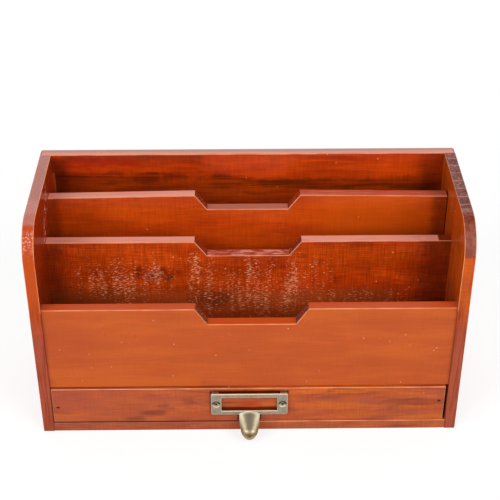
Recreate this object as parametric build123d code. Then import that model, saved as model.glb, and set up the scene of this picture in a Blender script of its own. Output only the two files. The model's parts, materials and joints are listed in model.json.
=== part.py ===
"""Desk-top envelope sorter with a shallow drawer, built from stained softwood boards.

X runs to the right, Y to the back and Z up. The origin lies on the desk, under the middle of
the case. Every size is in millimetres.
"""
import os

from build123d import *

# Case
width = 330.0  # over the outer faces of the side panels
depth = 122.0  # side panels' front edges to the back panel's rear face
height = 189.5  # desk to the top of the side and back panels
board = 8.8  # planed and sanded board of the whole case and of the drawer front
corner_radius = 27.0  # rounded front top corner of each side panel
back_corner_cut = 1.3  # top corners of the back panel, knocked off
easing = 0.7  # radius sanded on the arrises that no other board closes in

# Letter slots
drawer_bay_height = 35.0  # base board to shelf board
front_panel_height = 75.4
panel_setback = 2.0  # front panel behind the side panels' front edges
front_slot = 39.0  # clear depth behind the front panel
middle_slot = 22.2  # clear depth between the dividers; the rear slot is what is left
middle_divider_height = 95.4  # above the shelf board
rear_divider_height = 116.6  # above the shelf board, at its ends
rear_divider_crown = 1.7  # how much its top edge rises towards the notch
rear_divider_slack = 0.6  # cut short by this much, which shows as a joint line at its right end

# Finger notches, centred but for the shift that hand cutting left
front_notch_mouth = 85.5
front_notch_floor = 67.0
front_notch_depth = 14.2
front_notch_shift = 1.8
divider_notch_mouth = 82.5
divider_notch_floor = 63.4
divider_notch_depth = 12.7
divider_notch_shift = -0.6

# Drawer
drawer_gap_left = 0.4
drawer_gap_right = 2.0
drawer_gap_top = 0.5
drawer_gap_bottom = 0.7
drawer_gap_rear = 0.3
drawer_running_gap = 0.2  # drawer bottom above the base board
drawer_board = 8.0  # sides and back
drawer_wall_height = 27.0  # sides and back, above the plywood bottom
drawer_wall_inset = 0.3  # sides inside the ends of the drawer front
plywood = 3.0

# Card frame and finger pull, one casting
frame_width = 60.5
frame_height = 21.3
frame_stand = 3.0  # how far it stands out from the drawer front
frame_plate = 1.2  # wall in front of the card
frame_corner = 1.8
frame_easing = 0.35
frame_raise = 2.75  # above the middle of the drawer front
frame_shift = 0.6  # to the right of the middle of the drawer front
window_width = 44.0
window_height = 13.3
card_overlap = 2.4  # how far the card reaches behind the frame at each end and at the bottom
screw_spacing = 52.4
screw_head_radius = 2.4
screw_shank_radius = 1.3
screw_head_depth = 1.4
screw_sunk = 0.8  # top of the head below the frame's face
screw_length = 9.0
screw_clearance = 0.05
tongue_root_below = 0.5  # crest at the frame's face, below the upper edge of the lower rail
tongue_slope = 32.5  # degrees below level
tongue_reach = 17.4  # along the slope, from the frame's face to the bend
tongue_bend_radius = 6.0
tongue_end_slope = 85.0
tongue_drop = 7.3  # from the bend to the tip
tongue_root_width = 17.4
tongue_tip_width = 14.7
tongue_tip_height = 8.4  # of its rounded end
tongue_root_arch = 1.9  # height of the arched section where it leaves the frame
tongue_bend_arch = 4.4  # and from the bend on
tongue_wall = 1.4

# Brads: T-headed, of flat wire
brad_wire_width = 1.25
brad_wire_thickness = 1.0
brad_head_width = 2.0
brad_head_height = 0.6
brad_set = 0.4  # head below the surface
case_brad_length = 20.0
drawer_brad_length = 16.0
bottom_brad_length = 11.0
brad_end_distance = 18.0  # from the end of a row to its first brad
back_brad_spacing = 160.0  # between the two brads into the shelf and into the base
front_brad_drop = 0.6  # left brad of the drawer front, below the middle of its walls
front_brad_stagger = 4.0  # right brad of the drawer front, above the left one

# Where the boards stand
inner_width = width - 2 * board
case_front = -depth / 2
case_rear = depth / 2
back_front = case_rear - board
bay_top = board + drawer_bay_height
shelf_top = bay_top + board
panel_front = case_front + panel_setback
panel_rear = panel_front + board
middle_front = panel_rear + front_slot
rear_front = middle_front + board + middle_slot
front_panel_top = bay_top + front_panel_height
middle_divider_top = shelf_top + middle_divider_height
rear_divider_top = shelf_top + rear_divider_height

# Where the drawer's pieces stand
drawer_left = -inner_width / 2 + drawer_gap_left
drawer_right = inner_width / 2 - drawer_gap_right
drawer_middle = (drawer_left + drawer_right) / 2
drawer_rear = back_front - drawer_gap_rear
drawer_front_rear = case_front + board
front_bottom = board + drawer_gap_bottom
front_top = bay_top - drawer_gap_top
plywood_bottom = board + drawer_running_gap
plywood_top = plywood_bottom + plywood
wall_top = plywood_top + drawer_wall_height
wall_left = drawer_left + drawer_wall_inset
wall_right = drawer_right - drawer_wall_inset

# Where the card frame stands
frame_x = drawer_middle + frame_shift
frame_z = (front_bottom + front_top) / 2 + frame_raise
window_bottom = frame_z - window_height / 2

UNDER = (Align.CENTER, Align.CENTER, Align.MIN)


def block(x_range, y_range, z_range):
    """Plain block between two limits along each axis."""
    spans = (x_range, y_range, z_range)
    size = [high - low for low, high in spans]
    middle = [(high + low) / 2 for low, high in spans]
    return Pos(*middle) * Box(*size)


def ease_faces(panel, axis, butted=None):
    """Round the arrises round a panel's two broad faces, which are square to the axis.

    Arrises that run along the butted axis stay square, because other boards close them in.
    """
    faces = panel.faces().sort_by(axis)
    arrises = faces[0].edges() + faces[-1].edges()
    if butted:
        arrises = arrises.filter_by(butted, reverse=True)
    return fillet(arrises, easing)


# Brads

def brad(length, recess=0.0):
    """Brad on the Z axis, driven towards +Z from a surface at Z = 0."""
    head = Pos(0, 0, brad_set - recess) * Box(
        brad_head_width, brad_wire_width, brad_head_height + recess, align=UNDER
    )
    shank = Pos(0, 0, brad_set) * Box(brad_wire_width, brad_wire_thickness, length, align=UNDER)
    return head + shank


def drive(planes, length):
    """Brads driven in on each plane, and the pockets that they leave in the boards."""
    brads = [plane.location * brad(length) for plane in planes]
    pockets = [plane.location * brad(length, recess=brad_set) for plane in planes]
    return Compound(brads), pockets


def row(low, high, count=2):
    """Evenly spaced places along an edge, clear of its ends."""
    first = low + brad_end_distance
    step = (high - low - 2 * brad_end_distance) / (count - 1)
    return [first + step * index for index in range(count)]


def through_sides(points):
    """Planes on the outer faces of both side panels, at (y, z) points."""
    return [
        Plane(origin=(side * width / 2, y, z), x_dir=(0, 0, 1), z_dir=(-side, 0, 0))
        for side in (-1, 1)
        for y, z in points
    ]


def through_back(points):
    """Planes on the rear face of the back panel, at (x, z) points."""
    return [
        Plane(origin=(x, case_rear, z), x_dir=(0, 0, 1), z_dir=(0, -1, 0)) for x, z in points
    ]


def case_brads():
    """Each group of case brads: its name, with the brads and their pockets."""
    half = board / 2
    shelf_rows = row(panel_rear, back_front)
    side_middle = width / 2 - half
    back_points = [(side * side_middle, z) for side in (-1, 1) for z in row(0, height, 3)]
    for z in (half, bay_top + half):
        back_points += [(side * back_brad_spacing / 2, z) for side in (-1, 1)]
    points = {
        "front_panel_brads": [(panel_front + half, z) for z in row(bay_top, front_panel_top)],
        "middle_divider_brads": [
            (middle_front + half, z) for z in row(shelf_top, middle_divider_top)
        ],
        "rear_divider_brads": [(rear_front + half, z) for z in row(shelf_top, rear_divider_top)],
        "shelf_brads": [(y, bay_top + half) for y in shelf_rows],
        "base_brads": [(y, half) for y in shelf_rows],
    }
    groups = {
        name: drive(through_sides(places), case_brad_length) for name, places in points.items()
    }
    groups["back_panel_brads"] = drive(through_back(back_points), case_brad_length)
    return groups


def drawer_brads():
    """Each group of drawer brads: its name, with the brads and their pockets."""
    half = drawer_board / 2
    wall_middles = (wall_left + half, wall_right - half)
    front_z = (plywood_top + wall_top) / 2 - front_brad_drop
    back_y = drawer_rear - half
    front_planes = [
        Plane(origin=(x, case_front, z), x_dir=(1, 0, 0), z_dir=(0, 1, 0))
        for x, z in zip(wall_middles, (front_z, front_z + front_brad_stagger))
    ]
    third = drawer_wall_height / 3
    back_planes = [
        Plane(origin=(x, back_y, plywood_top + step * third), x_dir=(0, 0, 1), z_dir=direction)
        for x, direction in ((wall_left, (1, 0, 0)), (wall_right, (-1, 0, 0)))
        for step in (1, 2)
    ]
    bottom_points = [
        (x, y) for x in wall_middles for y in row(drawer_front_rear, drawer_rear, 3)
    ]
    bottom_points += [(drawer_middle + side * back_brad_spacing / 2, back_y) for side in (-1, 1)]
    bottom_planes = [
        Plane(origin=(x, y, plywood_bottom), x_dir=(0, 1, 0), z_dir=(0, 0, 1))
        for x, y in bottom_points
    ]
    return {
        "drawer_front_brads": drive(front_planes, drawer_brad_length),
        "drawer_back_brads": drive(back_planes, drawer_brad_length),
        "drawer_bottom_brads": drive(bottom_planes, bottom_brad_length),
    }


# Case boards

def side_panel(side):
    """Side panel: an upright board with its front top corner rounded off."""
    length = back_front - case_front
    outline = Pos(case_front, 0) * Rectangle(length, height, align=(Align.MIN, Align.MIN))
    front_top_corner = outline.vertices().group_by(Axis.Y)[-1].sort_by(Axis.X)[0]
    outline = fillet(front_top_corner, corner_radius)
    inner_face = side * inner_width / 2
    panel = extrude(Plane.YZ.offset(min(inner_face, inner_face + side * board)) * outline, board)
    return ease_faces(panel, Axis.X)


def upright(outline, front):
    """Board with a front-view outline, from its front face one thickness to the back."""
    return extrude(Plane.XZ.offset(-front - board) * outline, board)


def notched_panel(front, bottom, top, mouth, floor, notch_depth, shift, crown=0.0, slack=0.0):
    """Cross board with a finger notch; a crown lifts its top edge towards the notch."""
    half = inner_width / 2
    brink = top + crown
    outline = make_face(
        Polyline(
            (-half, bottom),
            (half - slack, bottom),
            (half - slack, top),
            (shift + mouth / 2, brink),
            (shift + floor / 2, brink - notch_depth),
            (shift - floor / 2, brink - notch_depth),
            (shift - mouth / 2, brink),
            (-half, top),
            close=True,
        )
    )
    return ease_faces(upright(outline, front), Axis.Y, butted=Axis.Z)


def back_panel():
    """Back panel: as wide as the case, its top corners knocked off."""
    outline = Rectangle(width, height, align=(Align.CENTER, Align.MIN))
    outline = chamfer(outline.vertices().group_by(Axis.Y)[-1], back_corner_cut)
    return ease_faces(upright(outline, back_front), Axis.Y)


def case_boards():
    """The eight boards of the case, before the brads go in."""
    inner = (-inner_width / 2, inner_width / 2)
    divider_notch = (
        divider_notch_mouth,
        divider_notch_floor,
        divider_notch_depth,
        divider_notch_shift,
    )
    return {
        "left_side_panel": side_panel(-1),
        "right_side_panel": side_panel(1),
        "back_panel": back_panel(),
        "front_panel": notched_panel(
            panel_front,
            bay_top,
            front_panel_top,
            front_notch_mouth,
            front_notch_floor,
            front_notch_depth,
            front_notch_shift,
        ),
        "middle_divider": notched_panel(
            middle_front, shelf_top, middle_divider_top, *divider_notch
        ),
        "rear_divider": notched_panel(
            rear_front,
            shelf_top,
            rear_divider_top,
            *divider_notch,
            crown=rear_divider_crown,
            slack=rear_divider_slack,
        ),
        "shelf_board": block(inner, (panel_rear, back_front), (bay_top, shelf_top)),
        "base_board": ease_faces(
            block(inner, (case_front, back_front), (0, board)), Axis.Z, butted=Axis.Y
        ),
    }


# Drawer

def pull_screw_places():
    """Planes on the frame's face, pointing into the drawer front, one for each screw."""
    face = case_front - frame_stand
    return [
        Plane(
            origin=(frame_x + side * screw_spacing / 2, face, frame_z),
            x_dir=(1, 0, 0),
            z_dir=(0, 1, 0),
        )
        for side in (-1, 1)
    ]


def pull_screw(gap=0.0):
    """Countersunk screw driven towards +Z from a face at Z = 0, or its hole if given a gap."""
    head_radius = screw_head_radius + gap
    shank_radius = screw_shank_radius + gap
    head = Pos(0, 0, screw_sunk) * Cone(head_radius, shank_radius, screw_head_depth, align=UNDER)
    shank = Pos(0, 0, screw_sunk) * Cylinder(shank_radius, screw_length + gap, align=UNDER)
    screw = head + shank
    if gap:
        screw += Cylinder(head_radius, screw_sunk, align=UNDER)
    return screw


def drawer_boards():
    """The five boards of the drawer, before the brads and screws go in."""
    box_depth = (drawer_front_rear, drawer_rear)
    wall = (plywood_top, wall_top)
    inner_left = wall_left + drawer_board
    inner_right = wall_right - drawer_board
    front = block(
        (drawer_left, drawer_right), (case_front, drawer_front_rear), (front_bottom, front_top)
    )
    left_side = block((wall_left, inner_left), box_depth, wall)
    right_side = block((inner_right, wall_right), box_depth, wall)
    back = block((inner_left, inner_right), (drawer_rear - drawer_board, drawer_rear), wall)
    return {
        "drawer_front": ease_faces(front, Axis.Y),
        "drawer_left_side": ease_faces(left_side, Axis.X, butted=Axis.Z),
        "drawer_right_side": ease_faces(right_side, Axis.X, butted=Axis.Z),
        "drawer_back": ease_faces(back, Axis.Y, butted=Axis.Z),
        "drawer_bottom": block((wall_left, wall_right), box_depth, (plywood_bottom, plywood_top)),
    }


def tongue_section(place, section_width, arch):
    """Section of the tongue: an arch with an even wall, its crest at the place's origin."""
    half = section_width / 2
    inner_half = half - tongue_wall
    outer = ThreePointArc((-half, -arch), (0, 0), (half, -arch))
    inner = ThreePointArc((inner_half, -arch), (0, -tongue_wall), (-inner_half, -arch))
    return place * make_face([outer, Line(outer @ 1, inner @ 0), inner, Line(inner @ 1, outer @ 0)])


def pull_tongue():
    """Finger pull: it narrows and arches up to the bend, and its tip is trimmed round."""
    side_view = Plane(origin=(frame_x, case_front, 0), x_dir=(0, -1, 0), z_dir=(-1, 0, 0))
    at_face = Vector(frame_stand, window_bottom - tongue_root_below)
    root = at_face - Vector(frame_plate, 0).rotate(Axis.Z, -tongue_slope)
    bend = at_face + Vector(tongue_reach, 0).rotate(Axis.Z, -tongue_slope)
    tip = bend + Vector(tongue_drop, 0).rotate(Axis.Z, -tongue_end_slope)
    crest = side_view * FilletPolyline(root, bend, tip, radius=tongue_bend_radius)
    slope, *turn = crest.edges()
    start, end = (
        Plane(origin=slope @ along, x_dir=(1, 0, 0), z_dir=slope % along) for along in (0, 1)
    )
    bend_section = tongue_section(end, tongue_tip_width, tongue_bend_arch)
    arch = loft(
        [tongue_section(start, tongue_root_width, tongue_root_arch), bend_section], ruled=True
    )
    arch += sweep(bend_section, Wire(turn))
    tip_middle = tip.Y + tongue_tip_height
    front_view = Pos(0, tip_middle) * (
        Rectangle(tongue_root_width, at_face.Y - tip.Y, align=(Align.CENTER, Align.MIN))
        + Ellipse(tongue_tip_width / 2, tongue_tip_height)
    )
    front_plane = Plane.XZ.offset(-case_front) * Pos(frame_x, 0)
    return arch & extrude(front_plane * front_view, tip.X + tongue_bend_arch)


def card_pull():
    """Card frame with its finger pull: a plate on two solid ends, open at the top for the card."""
    drawer_face = Plane.XZ.offset(-case_front)
    frame_outline = Pos(frame_x, frame_z) * RectangleRounded(
        frame_width, frame_height, frame_corner
    )
    body = extrude(drawer_face * frame_outline, frame_stand)
    body = chamfer(body.faces().sort_by(Axis.Y)[0].edges(), frame_easing)
    body += pull_tongue()
    window_top = window_bottom + window_height
    frame_top = frame_z + frame_height / 2
    window_half = window_width / 2
    body -= block(
        (frame_x - window_half, frame_x + window_half),
        (case_front - frame_stand, case_front),
        (window_bottom, window_top),
    )
    card_half = window_half + card_overlap
    body -= block(
        (frame_x - card_half, frame_x + card_half),
        (case_front - frame_stand + frame_plate, case_front),
        (window_bottom - card_overlap, frame_top),
    )
    for place in pull_screw_places():
        body -= place.location * pull_screw(screw_clearance)
    return body


# Assembly

def bored(piece, pockets):
    """Piece with the pockets of its fasteners cut out."""
    for pocket in pockets:
        piece -= pocket
    return piece


def assemble():
    """Every node of the sorter, by name."""
    nodes = {}
    for boards, groups in ((case_boards(), case_brads()), (drawer_boards(), drawer_brads())):
        all_pockets = [pocket for _, pockets in groups.values() for pocket in pockets]
        for name, piece in boards.items():
            nodes[name] = bored(piece, all_pockets)
        for name, (brads, _) in groups.items():
            nodes[name] = brads
    holes = [place.location * pull_screw(screw_clearance) for place in pull_screw_places()]
    nodes["drawer_front"] = bored(nodes["drawer_front"], holes)
    nodes["card_pull"] = card_pull()
    nodes["pull_screws"] = Compound([place.location * pull_screw() for place in pull_screw_places()])
    return nodes


os.makedirs("parts", exist_ok=True)
for node, shape in assemble().items():
    export_step(shape, f"parts/{node}.step")
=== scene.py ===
"""Dresses the envelope sorter: stained and lacquered pine boards with a cast brass card pull.

The file is laid out as an add-on. Run as a script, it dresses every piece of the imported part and
sets the stage.
"""
import json
import math
from functools import partial

import bmesh
import bpy
from bpy.props import FloatProperty, FloatVectorProperty, PointerProperty
from bpy.types import Operator, Panel, PropertyGroup
from mathutils import Matrix, Vector


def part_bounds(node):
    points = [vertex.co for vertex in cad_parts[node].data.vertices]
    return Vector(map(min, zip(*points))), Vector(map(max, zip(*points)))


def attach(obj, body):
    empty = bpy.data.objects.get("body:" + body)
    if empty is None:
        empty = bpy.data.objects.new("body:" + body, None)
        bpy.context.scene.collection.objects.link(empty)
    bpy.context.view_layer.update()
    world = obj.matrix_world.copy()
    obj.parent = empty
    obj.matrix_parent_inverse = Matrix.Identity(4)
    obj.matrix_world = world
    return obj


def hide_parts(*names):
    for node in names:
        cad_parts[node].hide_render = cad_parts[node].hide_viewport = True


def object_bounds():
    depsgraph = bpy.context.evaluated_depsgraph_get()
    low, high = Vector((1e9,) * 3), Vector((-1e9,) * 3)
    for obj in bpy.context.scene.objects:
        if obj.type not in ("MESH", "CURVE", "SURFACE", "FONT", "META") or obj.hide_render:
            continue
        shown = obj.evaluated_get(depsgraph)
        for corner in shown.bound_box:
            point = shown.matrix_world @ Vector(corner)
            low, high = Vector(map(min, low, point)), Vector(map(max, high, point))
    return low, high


bl_info = {
    "name": "Envelope sorter looks",
    "version": (1, 0, 0),
    "blender": (4, 5, 0),
    "location": "View3D > Sidebar > Sorter",
    "description": "Materials, fasteners and stage of a stained wooden envelope sorter",
    "category": "Object",
}

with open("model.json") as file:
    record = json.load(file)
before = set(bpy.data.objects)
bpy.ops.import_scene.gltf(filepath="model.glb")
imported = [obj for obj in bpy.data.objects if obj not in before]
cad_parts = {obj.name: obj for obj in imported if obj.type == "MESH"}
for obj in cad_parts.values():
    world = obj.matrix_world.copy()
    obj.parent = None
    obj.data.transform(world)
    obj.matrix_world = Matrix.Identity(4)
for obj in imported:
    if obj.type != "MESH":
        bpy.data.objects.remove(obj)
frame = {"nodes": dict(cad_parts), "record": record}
cad_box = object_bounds()

MM = 0.001
AXES = {"X": (1, 0, 0), "Y": (0, 1, 0), "Z": (0, 0, 1)}


def hex_colour(code):
    """Linear RGBA of an sRGB hex colour."""
    channels = [int(code[i : i + 2], 16) / 255 for i in (1, 3, 5)]
    linear = [c / 12.92 if c <= 0.04045 else ((c + 0.055) / 1.055) ** 2.4 for c in channels]
    return (*linear, 1.0)


def in_use(sockets, name=None):
    """First socket that the node's settings leave in use, of this name if one is given."""
    return next(s for s in sockets if s.enabled and name in (None, s.name))


def add(tree, kind, inputs=None, **settings):
    """Add a node with its settings, and give its inputs their values or links.

    The kind of a shader node leaves out its ShaderNode. An input is called by its index or its
    name. It takes a value, a socket, or a node, whose first output in use is then linked.
    """
    node = tree.nodes.new(kind if "Node" in kind else f"ShaderNode{kind}")
    for name, value in settings.items():
        setattr(node, name, value)
    for key, value in (inputs or {}).items():
        socket = node.inputs[key] if isinstance(key, int) else in_use(node.inputs, key)
        if isinstance(value, bpy.types.Node):
            value = in_use(value.outputs)
        if isinstance(value, bpy.types.NodeSocket):
            tree.links.new(value, socket)
        else:
            socket.default_value = value
    return node


def new_material(name):
    """Empty material and its node tree."""
    material = bpy.data.materials.new(name)
    material.use_nodes = True
    material.node_tree.nodes.clear()
    return material, material.node_tree


# Settings


def colour_setting(name, code, description):
    """Colour property with an sRGB hex default."""
    return FloatVectorProperty(
        name=name, description=description, subtype="COLOR", size=4, min=0, max=1,
        default=hex_colour(code),
    )


def length_setting(name, millimetres, description):
    """Length property, its default given in millimetres and kept in metres."""
    return FloatProperty(
        name=name, description=description, unit="LENGTH", precision=5, default=millimetres * MM
    )


class SorterStainSettings(PropertyGroup):
    """Colours of the stain and sizes of the grain."""

    late_wood: colour_setting("Late wood", "#6E1C0C", "Dense lines of the growth rings")
    dull: colour_setting("Dull stain", "#96443A", "Stain on short and dull fibres")
    # Dark colour for pooled stain and also for painted shade in corners, gaps and round the pull
    pooled: colour_setting("Pooled stain", "#3E1206", "Stain pooled in inner corners")
    end_grain: colour_setting("End grain", "#6E302A", "End grain, which soaks up stain")
    saw_mark: colour_setting("Saw mark", "#3C1614", "Bottom of a saw mark left on end grain")
    # Pale arris: partly sanded through the stain, partly a painted highlight
    arris_highlight: colour_setting("Arris", "#EE9A68", "Arris sanded through the stain")
    chip: colour_setting("Chip", "#E6986C", "Lifted fibre that whitened the lacquer")
    # Pale pink of upper edges: partly dulled lacquer, partly painted sheen
    bloom_and_sheen: colour_setting("Bloom", "#EE9C88", "Sanded edge that dulled the lacquer")
    ring_width: length_setting("Ring width", 4.6, "Distance between growth rings")
    fibre_length: length_setting("Fibre length", 16, "Length of a bundle of fibres")
    fibre_width: length_setting("Fibre width", 0.8, "Width of a bundle of fibres")
    planer_pitch: length_setting("Planer pitch", 0.9, "Distance between planer marks")


class SorterPullSettings(PropertyGroup):
    """Finish of the card pull and its screws."""

    mesh_size: length_setting("Mesh size", 0.24, "Mesh size of the casting")
    brass: colour_setting("Brass", "#C2BCB0", "Dulled brass of the flats")
    # Bright rims: partly rubbed brass, partly a painted highlight
    rubbed: colour_setting("Rubbed brass", "#F0DCB8", "Brass rubbed bright on the rims")
    patina: colour_setting("Patina", "#4A4A3E", "Dark patina in the hollows")
    recess_length: length_setting("Recess length", 2.5, "Length of the cross recess's arms")
    recess_width: length_setting("Recess width", 0.7, "Width of the cross recess's arms")
    recess_depth: length_setting("Recess depth", 1.0, "Depth of the cross recess")
    head_depth: length_setting("Screw head depth", 1.4, "Depth of the countersunk heads")
    shank_radius: length_setting("Screw shank radius", 1.3, "Radius of the screws' shanks")
    brad_wire_width: length_setting("Brad wire width", 1.25, "Width of the brads' flattened wire")
    brad_wire_thickness: length_setting("Brad wire thickness", 1.0, "Thickness of that wire")
    brad_head_width: length_setting("Brad head width", 2.0, "Width of the brads' heads")
    brad_head_height: length_setting("Brad head height", 0.6, "Height of the brads' heads")


class SorterStageSettings(PropertyGroup):
    """Camera, lamps and backdrop."""

    camera_place: FloatVectorProperty(
        name="Camera place", description="Where the photograph was taken from",
        subtype="TRANSLATION", unit="LENGTH", default=(-0.00831, -0.77735, 0.66068),
    )
    camera_pitch: FloatProperty(
        name="Pitch", description="How far the camera looks down", subtype="ANGLE",
        default=math.radians(34.17),
    )
    camera_yaw: FloatProperty(
        name="Yaw", description="How far the camera looks to the right", subtype="ANGLE",
        default=math.radians(0.69),
    )
    lens: FloatProperty(
        name="Lens", description="Focal length on a 36 mm sensor", unit="CAMERA", default=86.3
    )
    room_level: FloatProperty(
        name="Room light", description="Brightness of the room's even light", default=0.4
    )
    ceiling_level: FloatProperty(
        name="Ceiling", description="Brightness of the mirrored ceiling", default=0.35
    )
    ceiling_angle: FloatProperty(
        name="Ceiling angle", description="Height in the sky at which the ceiling starts",
        subtype="ANGLE", default=math.radians(36),
    )
    side_level: FloatProperty(
        name="Side lamps", description="Brightness of each side lamp's face", default=4.9
    )
    back_level: FloatProperty(
        name="Back lamp", description="Brightness of the lamp behind", default=1.3
    )
    front_level: FloatProperty(
        name="Front lamp", description="Brightness of the front lamp's face", default=0.9
    )


# Stained boards

# Each board's grain runs along one axis and its faces are square to another. The heart of the
# log lies this far from the board's middle across the grain (mm). Tones are the stain at its
# usual, lightest and darkest.
BOARDS = {
    "left_side_panel": dict(grain="Z", face="X", heart=(70, 20), figure=0.3,
                            tones=("#B44410", "#C25214", "#9A3410")),
    "right_side_panel": dict(grain="Z", face="X", heart=(-85, -10), figure=0.3,
                             tones=("#BA4A10", "#CA5A14", "#9C3812")),
    "back_panel": dict(grain="X", face="Y", heart=(40, 70), figure=0.35,
                       tones=("#B63707", "#C24008", "#902308")),
    "front_panel": dict(grain="X", face="Y", heart=(-95, 30), figure=0.04, texture=0.4, gloss=0.45,
                        tones=("#BC4E14", "#C65814", "#B24614")),
    "middle_divider": dict(grain="X", face="Y", heart=(60, -15), figure=0.1, texture=2.4,
                           tones=("#AC3608", "#B7400A", "#932808")),
    "rear_divider": dict(grain="X", face="Y", heart=(-75, 15), figure=0.12,
                         tones=("#B93D08", "#C4470A", "#A3330A")),
    "shelf_board": dict(grain="X", face="Z", heart=(60, 40), figure=0.4,
                        tones=("#AE4610", "#BE5214", "#943410")),
    "base_board": dict(grain="X", face="Z", heart=(-60, 10), figure=0.4, gloss=0.45,
                       tones=("#AA4E2C", "#B6582C", "#9A442E")),
    "drawer_front": dict(grain="X", face="Y", heart=(30, 6), figure=0.5, gloss=0.45,
                         tones=("#B44E22", "#C85E1A", "#A24832")),
    "drawer_left_side": dict(grain="Y", face="X", heart=(50, 0), figure=0.5,
                             tones=("#B04E28", "#C05C2A", "#984026")),
    "drawer_right_side": dict(grain="Y", face="X", heart=(-50, 0), figure=0.5,
                              tones=("#B04E28", "#C05C2A", "#984026")),
    "drawer_back": dict(grain="X", face="Y", heart=(55, -12), figure=0.5,
                        tones=("#AC4A26", "#BC5828", "#963E24")),
}


class Finish:
    """Material of one surface, laid on in coats. Places and sizes are in the part's millimetres."""

    def __init__(self, name):
        self.material, tree = new_material(name)
        self.add = partial(add, tree)
        coordinates = self.add("TexCoord")
        self.normal = coordinates.outputs["Normal"]
        self.place = self.add(
            "VectorMath", {0: coordinates.outputs["Object"], "Scale": 1 / MM}, operation="SCALE"
        )

    def share(self, pattern, start, end, most=1.0):
        """Mask that goes from 0 to its most as a pattern goes from start to end."""
        return self.add(
            "MapRange",
            {"Value": pattern, "From Min": start, "From Max": end, "To Max": most},
            interpolation_type="SMOOTHSTEP",
        )

    def overlap(self, *masks):
        """Mask of where all the masks overlap; a number among them weakens it."""
        shared = masks[0]
        for mask in masks[1:]:
            shared = self.add("Math", {0: shared, 1: mask}, operation="MULTIPLY")
        return shared

    def way(self, axis):
        """Place along one axis."""
        return self.add("SeparateXYZ", {0: self.place}).outputs[axis]

    def facing(self, axis):
        """How squarely the surface faces along an axis: from -1 to 1."""
        return self.add("VectorMath", {0: self.normal, 1: AXES[axis]}, operation="DOT_PRODUCT")

    def squareness(self, axis):
        """How squarely the surface faces along an axis, either way: from 0 to 1."""
        return self.add("Math", {0: self.facing(axis)}, operation="ABSOLUTE")

    def blotches(self, width, detail=2.0, roughness=0.6):
        """Noise whose blotches are about this wide."""
        return self.add(
            "TexNoise",
            {"Vector": self.place, "Scale": 1 / width, "Detail": detail, "Roughness": roughness},
        )

    def lay(self, colour, *masks):
        """Lay a colour, a hex code or a setting, over the surface where all the masks overlap."""
        paint = hex_colour(colour) if isinstance(colour, str) else tuple(colour)
        self.colour = self.add(
            "Mix", {"Factor": self.overlap(*masks), "A": self.colour, "B": paint}, data_type="RGBA"
        )

    def shade(self, pattern, swing, middle=1.0):
        """Scale the colour by up to this swing round a middle, as a pattern falls and rises."""
        brightness = self.add(
            "MapRange",
            {"Value": pattern, "From Min": 0.3, "From Max": 0.7,
             "To Min": middle - swing, "To Max": middle + swing},
        )
        self.colour = self.add(
            "VectorMath", {0: self.colour, "Scale": brightness}, operation="SCALE"
        )

    def coat(self, inputs):
        """Material with the colour laid so far and these other inputs of its surface."""
        surface = self.add("BsdfPrincipled", {"Base Color": self.colour, **inputs})
        self.add("OutputMaterial", {"Surface": surface})
        return self.material


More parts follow.
